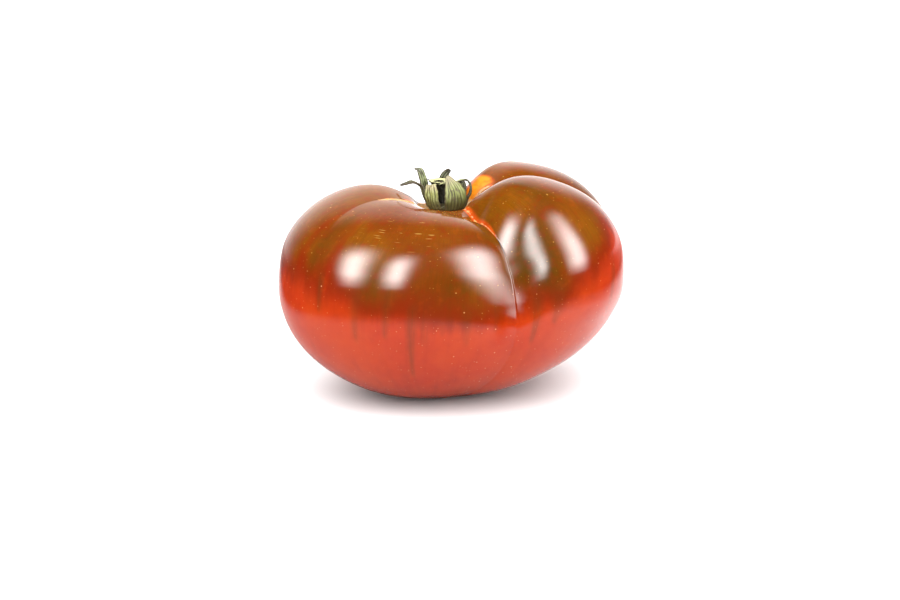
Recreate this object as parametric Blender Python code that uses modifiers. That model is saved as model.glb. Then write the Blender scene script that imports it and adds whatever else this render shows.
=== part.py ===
# A ribbed beefsteak tomato as picked, with its dried calyx and the stub of its stem.
# Metres, +Z up. It stands on its blossom end, its front faces -Y, and its box is centred on the origin.
import math

import bmesh
import bpy
from mathutils import Vector

# Driving dimensions of the fruit
PLAN_LONG = 0.0518  # half the length of the oval that the belly makes, seen from above
PLAN_SHORT = 0.0416  # half the width of that oval
PLAN_TURN = math.radians(19)  # the oval's long axis, turned from +X towards +Y
PLAN_X = -0.00588  # middle of the oval, which puts the middle of the box over the origin
PLAN_Y = -0.00286
BELLY_HEIGHT = 0.0349  # height of the widest level
BASE_CUT = 0.0008  # how much of the round base is pressed flat
CROWN_RISE = 0.0307  # from the belly to where the crown would be without its cavity
CAVITY_DEPTH = 0.0116
CAVITY_WIDTH = 0.0144
FULLNESS_HIGH = 0.74  # above the belly: below 1, the shoulders are boxier than an ellipsoid
FULLNESS_LOW = 1.02  # below the belly
FULLNESS_CHANGE = (1.30, 1.85)  # polar angles, in radians, over which the one turns into the other
STEM_X = 0.0045  # the stem stands this far from the middle of the oval
SEAT_RADIUS = 0.0067  # flat floor of the cavity, under the calyx
SEAT_BLEND = 0.0104  # where that flat floor has blended into the cavity's wall
SEAT_RISE = 0.0007

# Furrows: bearing in degrees from +X, bend in degrees on the way down, depth, share of it left low down
FURROWS = (
    (-58.0, 5.0, 0.0071, 0.14),
    (12.0, -4.0, 0.0062, 0.20),
    (78.0, 6.0, 0.0044, 0.25),
    (145.0, -5.0, 0.0035, 0.25),
    (214.0, 14.0, 0.0006, 0.15),
)
# Lobes, each following the furrow of the same place in the list: how far the shoulder stands above
# the belly, the lobe's reach as a share of the oval, where across it its crest is, and how suddenly
# it drops to its first and to its second furrow (2 is even, more is fuller)
LOBES = (
    (0.0336, 1.087, 0.35, 1.8, 2.5),
    (0.0311, 1.088, 0.50, 2.6, 2.2),
    (0.0161, 0.980, 0.50, 2.2, 2.2),
    (0.0288, 0.900, 0.50, 2.2, 2.2),
    (0.0255, 0.886, 0.50, 2.2, 2.0),
)
SWOLLEN_LOBE = 0  # the right front lobe also swells beside the front furrow
SWELL = 0.0587  # at most this share of its radius
SWELL_CREST = 0.22  # where across the lobe it swells most
SWELL_HEIGHT = 1.423  # the polar angle where it swells most
SWELL_REACH = 0.53  # how far from there, in radians, it has died out
CORE_SHARE = 0.45  # furrows sink towards a ring at this share of the plan radius
FURROW_BENDS = (0.30, 1.60)  # polar angles, in radians, between which a furrow bends
FURROW_START = (0.08, 0.32)  # polar angles over which it deepens from the seat
FURROW_FADE = (1.15, 2.00)  # polar angles over which it fades below the shoulder
FURROW_END = (2.30, 3.00)  # polar angles over which it ends at the base

# Mesh of the fruit
LOBE_STEPS = 14
RINGS = 36
TOP_CROWDING = 0.25  # rings are closer together near the stem
FLANK_CROWDING = 0.45  # meridians are closer together near the furrows
SEAM_SLACK = 1e-5  # a vertex this close to a furrow counts as being on it

# Calyx and stem, measured from the point where the stem's axis meets the seat
GAP = 0.0003  # clearance between pieces that touch
SEAT = Vector((PLAN_X + STEM_X, PLAN_Y, BELLY_HEIGHT + CROWN_RISE - CAVITY_DEPTH + SEAT_RISE))
COLLAR_FOOT = 0.0053  # radius of the calyx's collar where it sits on the fruit
COLLAR_TOP = 0.0058
COLLAR_HEIGHT = 0.0013
COLLAR_SIDES = 32
BLADE_THICKNESS = 0.0007
BLADE_ROWS = 12
BLADE_COLUMNS = 6
BLADE_LOOKAHEAD = 0.02  # share of a sepal over which its direction is measured
RIB_COUNT = 3  # ribs across a sepal
CALYX_SHARP_ANGLE = math.radians(50)
# Sepals: the middle line from root to tip, the widths along it, the bearings in degrees that the
# outer face has at the root and at the tip, how far its middle bulges, and the height of its ribs
SEPALS = {
    "left": (
        ((-0.0050, 0.0000, 0.0009), (-0.0060, 0.0000, 0.0030), (-0.0069, 0.0003, 0.0056),
         (-0.0081, 0.0005, 0.0067), (-0.0098, 0.0007, 0.0072), (-0.0114, 0.0008, 0.0068),
         (-0.0132, 0.0009, 0.0062)),
        (0.0038, 0.0034, 0.0030, 0.0026, 0.0023, 0.0017, 0.0007), (200, 212), 0.0005, 0.0),
    "back_left": (
        ((-0.0044, 0.0025, 0.0009), (-0.0054, 0.0030, 0.0030), (-0.0062, 0.0032, 0.0053),
         (-0.0066, 0.0034, 0.0072), (-0.0072, 0.0036, 0.0090), (-0.0079, 0.0038, 0.0101),
         (-0.0092, 0.0040, 0.0103)),
        (0.0042, 0.0038, 0.0032, 0.0026, 0.0022, 0.0017, 0.0006), (150, 112), 0.0006, 0.0),
    "back": (
        ((-0.0007, 0.0050, 0.0009), (-0.0009, 0.0057, 0.0035), (-0.0009, 0.0060, 0.0066),
         (-0.0001, 0.0061, 0.0084), (0.0010, 0.0061, 0.0095)),
        (0.0046, 0.0038, 0.0026, 0.0020, 0.0012), (97, 100), 0.0005, 0.0),
    "back_right": (
        ((0.0035, 0.0038, 0.0009), (0.0042, 0.0045, 0.0033), (0.0045, 0.0049, 0.0052),
         (0.0041, 0.0052, 0.0061), (0.0031, 0.0054, 0.0064)),
        (0.0044, 0.0034, 0.0026, 0.0017, 0.0007), (48, 60), 0.0005, 0.0),
    "right": (
        ((0.0050, -0.0008, 0.0009), (0.0058, -0.0012, 0.0030), (0.0066, -0.0011, 0.0045),
         (0.0068, -0.0007, 0.0060), (0.0064, 0.0003, 0.0070), (0.0056, 0.0011, 0.0076),
         (0.0042, 0.0017, 0.0075), (0.0028, 0.0021, 0.0069)),
        (0.0046, 0.0040, 0.0034, 0.0030, 0.0025, 0.0019, 0.0013, 0.0006), (-8, 25), 0.0005, 0.0),
    "front_right": (
        ((0.0021, -0.0046, 0.0009), (0.0026, -0.0056, 0.0032), (0.0023, -0.0057, 0.0058),
         (0.0013, -0.0050, 0.0081), (0.0003, -0.0037, 0.0099)),
        (0.0056, 0.0066, 0.0060, 0.0036, 0.0011), (-65, -72), 0.0009, 0.00025),
    "front_left": (
        ((-0.0032, -0.0039, 0.0009), (-0.0040, -0.0045, 0.0032), (-0.0043, -0.0044, 0.0056),
         (-0.0043, -0.0039, 0.0074)),
        (0.0046, 0.0042, 0.0038, 0.0024), (-125, -112), 0.0006, 0.0002),
}
# Stem stub: its middle line, and its radius at each point
STUB_LINE = (
    (-0.0004, 0.0000, GAP + COLLAR_HEIGHT + GAP), (-0.0005, 0.0000, 0.0032), (-0.0011, 0.0001, 0.0050),
    (-0.0018, 0.0002, 0.0066), (-0.0021, 0.0002, 0.0078))
STUB_RADII = (0.0026, 0.0023, 0.0022, 0.0024, 0.0029)
STUB_WIDEST = max(STUB_RADII)


def smooth(low, high, value):
    share = min(1.0, max(0.0, (value - low) / (high - low)))
    return share * share * (3 - 2 * share)


def blend(low, high, share):
    return low + (high - low) * share


def plan_radius(bearing):
    turned = bearing - PLAN_TURN
    return 1 / math.hypot(math.cos(turned) / PLAN_LONG, math.sin(turned) / PLAN_SHORT)


def between_lobes(column, lobe, across):
    """A value from LOBES that holds at each lobe's middle, blended from one middle to the next."""
    first = lobe - 1 if across < 0.5 else lobe
    share = across + 0.5 if across < 0.5 else across - 0.5
    return blend(LOBES[first][column], LOBES[(first + 1) % len(LOBES)][column], smooth(0, 1, share))


def furrow_bearing(furrow, polar):
    bearing, bend, _, _ = FURROWS[furrow]
    return math.radians(bearing + bend * (smooth(*FURROW_BENDS, polar) - 0.5))


def furrow_pull(lobe, across, polar):
    """How far the skin is drawn in: all of the depth at a furrow, nothing at a lobe's crest."""
    _, _, crest, first_drop, second_drop = LOBES[lobe]
    if across < crest:
        flank = (1 - across / crest) ** first_drop
        _, _, depth, low_share = FURROWS[lobe]
    else:
        flank = ((across - crest) / (1 - crest)) ** second_drop
        _, _, depth, low_share = FURROWS[(lobe + 1) % len(LOBES)]
    fade = blend(1, low_share, smooth(*FURROW_FADE, polar)) * (1 - smooth(*FURROW_END, polar))
    return depth * flank * fade * smooth(*FURROW_START, polar)


def swell(lobe, across, polar):
    if lobe != SWOLLEN_LOBE:
        return 0
    side = across / SWELL_CREST if across < SWELL_CREST else (1 - across) / (1 - SWELL_CREST)
    return SWELL * smooth(0, 1, side) * (1 - smooth(0, SWELL_REACH, abs(polar - SWELL_HEIGHT)))


def skin_point(lobe, across, polar):
    """The skin at a share across a lobe, from 0 to 1, and a polar angle from the stem."""
    before = furrow_bearing(lobe, polar)
    width = (furrow_bearing((lobe + 1) % len(LOBES), polar) - before) % math.tau
    bearing = before + width * across
    radius = plan_radius(bearing) * between_lobes(1, lobe, across) * (1 + swell(lobe, across, polar))
    above = math.cos(polar) > 0
    fullness = blend(FULLNESS_HIGH, FULLNESS_LOW, smooth(*FULLNESS_CHANGE, polar))
    out = radius * math.sin(polar) ** fullness
    upright = math.copysign(abs(math.cos(polar)) ** fullness, math.cos(polar))
    if above:
        hollow = math.exp(-((out / CAVITY_WIDTH) ** 2))
        rise = blend(between_lobes(0, lobe, across), CROWN_RISE, hollow)
        height = BELLY_HEIGHT + rise * upright - CAVITY_DEPTH * hollow
    else:
        height = BELLY_HEIGHT + (BELLY_HEIGHT + BASE_CUT) * upright
    outward = Vector((math.cos(bearing), math.sin(bearing), 0))
    point = outward * out + Vector((0, 0, height))
    core = outward * radius * CORE_SHARE + Vector((0, 0, BELLY_HEIGHT))
    point -= (point - core).normalized() * furrow_pull(lobe, across, polar)
    if above:
        point.z = blend(SEAT.z, point.z, smooth(SEAT_RADIUS, SEAT_BLEND, out))
    lean = STEM_X * (1 + math.cos(polar)) / 2
    return Vector((point.x + PLAN_X + lean, point.y + PLAN_Y, max(0.0, point.z)))


def make_fruit(home, material):
    bm = bmesh.new()
    bmesh.ops.create_uvsphere(bm, u_segments=len(LOBES) * LOBE_STEPS, v_segments=RINGS, radius=1)
    for vertex in bm.verts:
        turn = (math.atan2(vertex.co.y, vertex.co.x) / math.tau) % 1 * len(LOBES)
        furrows_passed = int(turn + SEAM_SLACK)
        lobe = furrows_passed % len(LOBES)
        across = max(0.0, turn - furrows_passed)
        across -= FLANK_CROWDING * math.sin(math.tau * across) / math.tau
        polar = math.acos(max(-1.0, min(1.0, vertex.co.z)))
        polar -= TOP_CROWDING * math.sin(polar)
        vertex.co = skin_point(lobe, across, polar)
    return add_piece("fruit", bm, material, home)


def along_curve(points, share):
    """A value or point on the smooth curve through the given ones (Catmull-Rom)."""
    place = share * (len(points) - 1)
    index = min(int(place), len(points) - 2)
    t = place - index
    first = points[max(0, index - 1)]
    second = points[index]
    third = points[index + 1]
    fourth = points[min(len(points) - 1, index + 2)]
    slope = (third - first) * t + (first * 2 - second * 5 + third * 4 - fourth) * t ** 2
    return second + (slope + (second * 3 - first - third * 3 + fourth) * t ** 3) / 2


def make_sepal(name, home):
    points, widths, facings, bulge, rib_height = SEPALS[name]
    line = [Vector(point) for point in points]
    bm = bmesh.new()
    bmesh.ops.create_grid(bm, x_segments=BLADE_COLUMNS, y_segments=BLADE_ROWS, size=1)
    for vertex in bm.verts:
        across = vertex.co.x
        share = (vertex.co.y + 1) / 2
        middle = along_curve(line, share)
        behind = along_curve(line, max(0.0, share - BLADE_LOOKAHEAD))
        ahead = along_curve(line, min(1.0, share + BLADE_LOOKAHEAD)) - behind
        facing = math.radians(blend(*facings, smooth(0, 1, share)))
        side = Vector((-math.sin(facing), math.cos(facing), 0))
        side -= ahead * (side.dot(ahead) / ahead.length_squared)
        outer = side.normalized().cross(ahead.normalized())
        half = along_curve(widths, share) / 2
        taper = min(1.0, half / max(widths))
        proud = bulge * (1 - across * across) * taper
        proud += rib_height * math.cos(across * math.pi * RIB_COUNT) * taper
        vertex.co = SEAT + middle + side.normalized() * half * across + outer * proud
    bmesh.ops.triangulate(bm, faces=bm.faces)
    sepal = add_piece("sepal_" + name, bm, None, home)
    skin = sepal.modifiers.new("thickness", "SOLIDIFY")
    skin.thickness = BLADE_THICKNESS
    skin.offset = 0
    return sepal


def make_calyx(home, material):
    """The collar that the sepals grow from, with the sepals fused to it."""
    bm = bmesh.new()
    bmesh.ops.create_cone(bm, cap_ends=True, segments=COLLAR_SIDES, radius1=COLLAR_FOOT,
                          radius2=COLLAR_TOP, depth=COLLAR_HEIGHT)
    bmesh.ops.translate(bm, verts=bm.verts, vec=SEAT + Vector((0, 0, GAP + COLLAR_HEIGHT / 2)))
    calyx = add_piece("calyx", bm, material, home)
    blades = bpy.data.collections.new("sepals")
    bpy.context.scene.collection.children.link(blades)
    for name in SEPALS:
        make_sepal(name, blades)
    union = calyx.modifiers.new("sepals", "BOOLEAN")
    union.operation = "UNION"
    union.operand_type = "COLLECTION"
    union.collection = blades
    view = bpy.context.evaluated_depsgraph_get()
    fused = bpy.data.meshes.new_from_object(calyx.evaluated_get(view))
    calyx.modifiers.clear()
    calyx.data = fused
    fused.shade_smooth()
    fused.set_sharp_from_angle(angle=CALYX_SHARP_ANGLE)
    for sepal in list(blades.objects):
        bpy.data.objects.remove(sepal)
    bpy.data.collections.remove(blades)
    return calyx


def make_stem_stub(home, material):
    curve = bpy.data.curves.new("stem_stub", "CURVE")
    curve.dimensions = "3D"
    curve.bevel_depth = STUB_WIDEST
    curve.bevel_resolution = 4
    curve.use_fill_caps = True
    spline = curve.splines.new("POLY")
    spline.points.add(len(STUB_LINE) - 1)
    for point, place, radius in zip(spline.points, STUB_LINE, STUB_RADII):
        point.co = (*(SEAT + Vector(place)), 1)
        point.radius = radius / STUB_WIDEST
    curve.materials.append(material)
    stub = bpy.data.objects.new("stem_stub", curve)
    home.objects.link(stub)
    return stub


def add_piece(name, bm, material, home):
    mesh = bpy.data.meshes.new(name)
    bm.to_mesh(mesh)
    bm.free()
    mesh.shade_smooth()
    if material:
        mesh.materials.append(material)
    piece = bpy.data.objects.new(name, mesh)
    home.objects.link(piece)
    return piece


def paint(name, colour, roughness):
    material = bpy.data.materials.new(name)
    material.use_nodes = True
    shader = material.node_tree.nodes["Principled BSDF"]
    shader.inputs["Base Color"].default_value = (*colour, 1)
    shader.inputs["Roughness"].default_value = roughness
    shader.inputs["Metallic"].default_value = 0
    return material


def main():
    for thing in list(bpy.data.objects):
        bpy.data.objects.remove(thing)
    home = bpy.data.collections.new("tomato")
    bpy.context.scene.collection.children.link(home)
    make_fruit(home, paint("skin", (0.50, 0.07, 0.02), 0.2))
    make_calyx(home, paint("dried_leaf", (0.22, 0.23, 0.07), 0.7))
    make_stem_stub(home, paint("stem", (0.42, 0.40, 0.17), 0.7))


main()
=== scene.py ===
import math

import bmesh
import bpy
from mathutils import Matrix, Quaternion, Vector, noise


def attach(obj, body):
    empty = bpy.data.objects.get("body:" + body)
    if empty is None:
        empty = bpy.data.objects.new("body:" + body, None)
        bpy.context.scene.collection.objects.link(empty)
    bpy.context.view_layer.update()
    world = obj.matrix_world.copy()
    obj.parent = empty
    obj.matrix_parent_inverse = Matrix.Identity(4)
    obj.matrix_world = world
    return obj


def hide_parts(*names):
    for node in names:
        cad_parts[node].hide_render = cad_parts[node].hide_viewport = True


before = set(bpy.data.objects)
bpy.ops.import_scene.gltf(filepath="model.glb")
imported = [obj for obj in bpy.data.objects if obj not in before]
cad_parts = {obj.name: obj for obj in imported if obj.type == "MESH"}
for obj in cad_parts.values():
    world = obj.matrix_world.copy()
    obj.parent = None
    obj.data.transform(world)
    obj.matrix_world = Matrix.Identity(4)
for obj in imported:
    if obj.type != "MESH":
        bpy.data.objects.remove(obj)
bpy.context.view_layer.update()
print("frame loaded:", ", ".join(sorted(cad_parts)))


# the camera looks from the front and a little above; in metres, degrees and mm for the lens
cameraSettings = {
    "aim": (-0.0004, -0.0029, 0.027), "elevation": 17, "distance": 0.614, "lens": 85, "clipStart": 0.01,
}


def makeCamera(settings):
    data = bpy.data.cameras.new("camera")
    data.lens = settings["lens"]
    data.clip_start = settings["clipStart"]
    camera = bpy.data.objects.new("camera", data)
    bpy.context.scene.collection.objects.link(camera)
    tilt = math.radians(settings["elevation"])
    back = Vector((0, -math.cos(tilt), math.sin(tilt)))
    camera.location = Vector(settings["aim"]) + back * settings["distance"]
    camera.rotation_euler = (-back).to_track_quat("-Z", "Y").to_euler()
    bpy.context.scene.camera = camera


makeCamera(cameraSettings)
print("camera in place")


def clamp(value, low=0.0, high=1.0):
    return min(high, max(low, value))


def smooth(low, high, value):
    share = clamp((value - low) / (high - low))
    return share * share * (3 - 2 * share)


def blend(low, high, share):
    return low + (high - low) * share


def bump(middle, width, value):  # a soft hump, 1 in the middle and 0 past its width
    return 1 - smooth(0, width, abs(value - middle))


def wobble(place, size):  # smooth noise from -1 to 1, with lumps of about that size in metres
    return noise.noise(Vector(place) / size)


def turnFrom(middle, bearing):  # degrees from a middle bearing, from -180 to 180
    return (bearing - middle + 180) % 360 - 180


def makePiece(bm, name):
    mesh = bpy.data.meshes.new(name)
    bm.to_mesh(mesh)
    bm.free()
    mesh.shade_smooth()
    piece = bpy.data.objects.new(name, mesh)
    bpy.context.scene.collection.objects.link(piece)
    return piece


# helpers for materials

def fillSocket(tree, socket, value):
    if isinstance(value, bpy.types.NodeSocket):
        tree.links.new(value, socket)
    elif isinstance(value, tuple) and socket.type == "RGBA":
        socket.default_value = (*value, 1)
    else:
        socket.default_value = value


def addNode(tree, kind, inputs=None, **settings):
    node = tree.nodes.new(kind)
    for name, value in settings.items():
        setattr(node, name, value)
    for name, value in (inputs or {}).items():
        fillSocket(tree, node.inputs[name], value)
    return node


def calculate(tree, operation, first, second=0.0, limit=False):
    node = addNode(tree, "ShaderNodeMath", {0: first, 1: second}, operation=operation, use_clamp=limit)
    return node.outputs[0]


def plus(tree, first, second, limit=False):
    return calculate(tree, "ADD", first, second, limit)


def minus(tree, first, second):
    return calculate(tree, "SUBTRACT", first, second)


def times(tree, first, second):
    return calculate(tree, "MULTIPLY", first, second)


def splitVector(tree, vector):
    return addNode(tree, "ShaderNodeSeparateXYZ", {0: vector}).outputs


def joinVector(tree, first, second, third=0.0):
    return addNode(tree, "ShaderNodeCombineXYZ", {0: first, 1: second, 2: third}).outputs[0]


def stretchVector(tree, vector, factors):
    return addNode(tree, "ShaderNodeVectorMath", {0: vector, 1: factors}, operation="MULTIPLY").outputs[0]


def vectorLength(tree, vector):
    return addNode(tree, "ShaderNodeVectorMath", {0: vector}, operation="LENGTH").outputs["Value"]


def ramp(tree, share, start, end):  # a straight line from start to end
    inputs = {"Value": share, "To Min": start, "To Max": end}
    return addNode(tree, "ShaderNodeMapRange", inputs).outputs["Result"]


def stretch(tree, value, low, high, to=(0.0, 1.0)):  # a soft step of value from low to high
    inputs = {"Value": value, "From Min": low, "From Max": high, "To Min": to[0], "To Max": to[1]}
    return addNode(tree, "ShaderNodeMapRange", inputs, interpolation_type="SMOOTHSTEP").outputs["Result"]


def mixColour(tree, share, first, second):
    return addNode(tree, "ShaderNodeMix", {0: share, 6: first, 7: second}, data_type="RGBA").outputs[2]


def mixIn(tree, colour, other, value, low, high, to=(0.0, 1.0)):  # more of the other towards high
    return mixColour(tree, stretch(tree, value, low, high, to), colour, other)


def attribute(tree, name, output="Fac"):
    return addNode(tree, "ShaderNodeAttribute", attribute_name=name).outputs[output]


def ownPlace(tree):
    return addNode(tree, "ShaderNodeTexCoord").outputs["Object"]


def addNoise(tree, vector, scale, detail):
    inputs = {"Vector": vector, "Scale": scale, "Detail": detail}
    return addNode(tree, "ShaderNodeTexNoise", inputs).outputs["Fac"]


def startMaterial(name, finish):
    material = bpy.data.materials.new(name)
    material.use_nodes = True
    tree = material.node_tree
    shader = tree.nodes["Principled BSDF"]
    shader.inputs["Roughness"].default_value = finish["roughness"]
    shader.inputs["Specular IOR Level"].default_value = finish["specular"]
    return material, tree, shader


def addRelief(tree, shader, height, strength, distance):
    bumped = addNode(tree, "ShaderNodeBump", {"Height": height, "Strength": strength, "Distance": distance})
    tree.links.new(bumped.outputs["Normal"], shader.inputs["Normal"])


def startGroup(name, numbers):  # a group that takes a vector and some numbers, and gives one number
    group = bpy.data.node_groups.new(name, "ShaderNodeTree")
    group.interface.new_socket("Vector", in_out="INPUT", socket_type="NodeSocketVector")
    for label in numbers:
        group.interface.new_socket(label, in_out="INPUT", socket_type="NodeSocketFloat")
    group.interface.new_socket("Value", in_out="OUTPUT", socket_type="NodeSocketFloat")
    given = group.nodes.new("NodeGroupInput").outputs
    return group, given, group.nodes.new("NodeGroupOutput").inputs["Value"]


def makeFibreGroup():  # noise drawn out into fibres: many across, long along
    group, given, result = startGroup("fibres", ("Across", "Along", "Detail"))
    parts = splitVector(group, given["Vector"])
    factors = (given["Across"], given["Across"], given["Along"])
    drawn = joinVector(group, *(times(group, part, factor) for part, factor in zip(parts, factors)))
    group.links.new(addNoise(group, drawn, 1.0, given["Detail"]), result)
    return group


dotShape = {"leastSize": 0.35, "softness": 0.6}


def makeDotGroup():  # scattered dots
    group, given, result = startGroup("dots", ("Spacing", "Size", "Share"))
    scale = calculate(group, "DIVIDE", 1.0, given["Spacing"])
    cells = addNode(group, "ShaderNodeTexVoronoi", {"Vector": given["Vector"], "Scale": scale}).outputs
    draw = addNode(group, "ShaderNodeSeparateColor", {0: cells["Color"]}).outputs
    size = times(group, given["Size"], plus(group, draw[1], dotShape["leastSize"]))
    edge = times(group, size, dotShape["softness"])
    reach = {"Value": cells["Distance"], "From Min": size, "From Max": edge}
    inside = addNode(group, "ShaderNodeMapRange", reach).outputs["Result"]
    held = calculate(group, "LESS_THAN", draw[0], given["Share"])
    group.links.new(times(group, inside, held), result)
    return group


fibreGroup = makeFibreGroup()
dotGroup = makeDotGroup()


def fibres(tree, vector, across, along, detail):
    inputs = {"Vector": vector, "Across": across, "Along": along, "Detail": detail}
    return addNode(tree, "ShaderNodeGroup", inputs, node_tree=fibreGroup).outputs[0]


def dots(tree, vector, spacing, size, share):
    inputs = {"Vector": vector, "Spacing": spacing, "Size": size, "Share": share}
    return addNode(tree, "ShaderNodeGroup", inputs, node_tree=dotGroup).outputs[0]


# the fruit: five uneven lobes round the stem cavity, in metres, with bearings in degrees from +X and
# polar angles in radians from the stem
fruitShape = {
    "meridiansPerLobe": 76, "rings": 190, "topCrowding": 0.25, "flankCrowding": 0.45,
    "planLong": 0.0518, "planShort": 0.0416, "planTurn": 19, "planMiddle": (-0.00588, -0.00286),
    "bellyHeight": 0.0349, "baseCut": 0.0008, "crownRise": 0.0307,
    "cavityDepth": 0.0116, "cavityWidth": 0.0144, "stemLean": 0.0045,
    "seatRadius": 0.0067, "seatBlend": 0.0104, "seatRise": 0.0007,
    # how full the profile is high up and low down, and the polar angles over which that changes
    "fullnessHigh": 0.74, "fullnessLow": 1.02, "fullnessChange": (1.3, 1.85),
    # furrows: bearing, bend, depth, share of it left low down
    "furrows": ((-58, 5, 0.0071, 0.14), (12, -4, 0.0062, 0.2), (78, 6, 0.0044, 0.25),
                (145, -5, 0.0035, 0.25), (214, 14, 0.0006, 0.15)),
    # the polar angles over which they bend, start, fade and end, and how far out the place they point to is
    "bends": (0.3, 1.6), "start": (0.08, 0.32), "fade": (1.15, 2), "end": (2.3, 3),
    "coreShare": 0.45,
    # lobes: rise over the belly, reach, crest, how it drops to its first and second furrow
    "lobes": ((0.0336, 1.087, 0.35, 1.8, 2.5), (0.0311, 1.088, 0.5, 2.6, 2.2),
              (0.0161, 0.98, 0.5, 2.2, 2.2), (0.0288, 0.9, 0.5, 2.2, 2.2),
              (0.0255, 0.886, 0.5, 2.2, 2)),
    # the right front lobe also swells: share, peak, polar angle, reach
    "swollenLobe": 0, "swell": (0.0587, 0.22, 1.423, 0.53),
    # lumps in the skin and the cork: none on the flat base, and more of them from 7 to 12 mm off the stem
    "lumps": 0.00025, "lumpSize": 0.016, "corkLumps": 0.00016, "corkLumpSize": 0.0011,
    "flatHeight": 0.0002, "lumpStart": (7, 12),
}
lobeCount = len(fruitShape["lobes"])


def seatPlace(shape):  # the middle of the calyx's seat
    height = shape["bellyHeight"] + shape["crownRise"] - shape["cavityDepth"] + shape["seatRise"]
    return Vector((shape["planMiddle"][0] + shape["stemLean"], shape["planMiddle"][1], height))


seat = seatPlace(fruitShape)


def betweenLobes(column, lobe, across):
    lobes = fruitShape["lobes"]
    first = lobe - 1 if across < 0.5 else lobe
    share = across + 0.5 if across < 0.5 else across - 0.5
    return blend(lobes[first][column], lobes[(first + 1) % lobeCount][column], smooth(0, 1, share))


def furrowBearing(furrow, polar):
    bearing, bend = fruitShape["furrows"][furrow][:2]
    return math.radians(bearing + bend * (smooth(*fruitShape["bends"], polar) - 0.5))


def furrowPull(lobe, across, polar):
    crest, firstDrop, secondDrop = fruitShape["lobes"][lobe][2:]
    if across < crest:
        flank = (1 - across / crest) ** firstDrop
        depth, lowShare = fruitShape["furrows"][lobe][2:]
    else:
        flank = ((across - crest) / (1 - crest)) ** secondDrop
        depth, lowShare = fruitShape["furrows"][(lobe + 1) % lobeCount][2:]
    fade = blend(1, lowShare, smooth(*fruitShape["fade"], polar)) * (1 - smooth(*fruitShape["end"], polar))
    return depth * flank * fade * smooth(*fruitShape["start"], polar)


def skinBearing(lobe, across, polar):
    before = furrowBearing(lobe, polar)
    width = (furrowBearing((lobe + 1) % lobeCount, polar) - before) % math.tau
    return before + width * across


def swellShare(lobe, across, polar):
    if lobe != fruitShape["swollenLobe"]:
        return 0
    most, peak, height, reach = fruitShape["swell"]
    side = across / peak if across < peak else (1 - across) / (1 - peak)
    return most * smooth(0, 1, side) * bump(height, reach, polar)


def ovalRadius(shape, bearing):  # how far out the plan's oval is
    turned = bearing - math.radians(shape["planTurn"])
    return 1 / math.hypot(math.cos(turned) / shape["planLong"], math.sin(turned) / shape["planShort"])


def upperHeight(shape, lobe, across, out, upright):  # the crown, hollowed round the stem
    hollow = math.exp(-((out / shape["cavityWidth"]) ** 2))
    rise = blend(betweenLobes(0, lobe, across), shape["crownRise"], hollow)
    return shape["bellyHeight"] + rise * upright - shape["cavityDepth"] * hollow


def skinPoint(lobe, across, polar):
    shape = fruitShape
    bearing = skinBearing(lobe, across, polar)
    swollen = 1 + swellShare(lobe, across, polar)
    radius = ovalRadius(shape, bearing) * betweenLobes(1, lobe, across) * swollen
    above = math.cos(polar) > 0
    fullness = blend(shape["fullnessHigh"], shape["fullnessLow"], smooth(*shape["fullnessChange"], polar))
    out = radius * math.sin(polar) ** fullness
    upright = math.copysign(abs(math.cos(polar)) ** fullness, math.cos(polar))
    if above:
        height = upperHeight(shape, lobe, across, out, upright)
    else:
        height = shape["bellyHeight"] + (shape["bellyHeight"] + shape["baseCut"]) * upright
    outward = Vector((math.cos(bearing), math.sin(bearing), 0))
    point = outward * out + Vector((0, 0, height))
    core = outward * radius * shape["coreShare"] + Vector((0, 0, shape["bellyHeight"]))
    point -= (point - core).normalized() * furrowPull(lobe, across, polar)
    if above:
        point.z = blend(seat.z, point.z, smooth(shape["seatRadius"], shape["seatBlend"], out))
    lean = shape["stemLean"] * (1 + math.cos(polar)) / 2
    middle = shape["planMiddle"]
    return Vector((point.x + middle[0] + lean, point.y + middle[1], max(0.0, point.z)))


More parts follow.
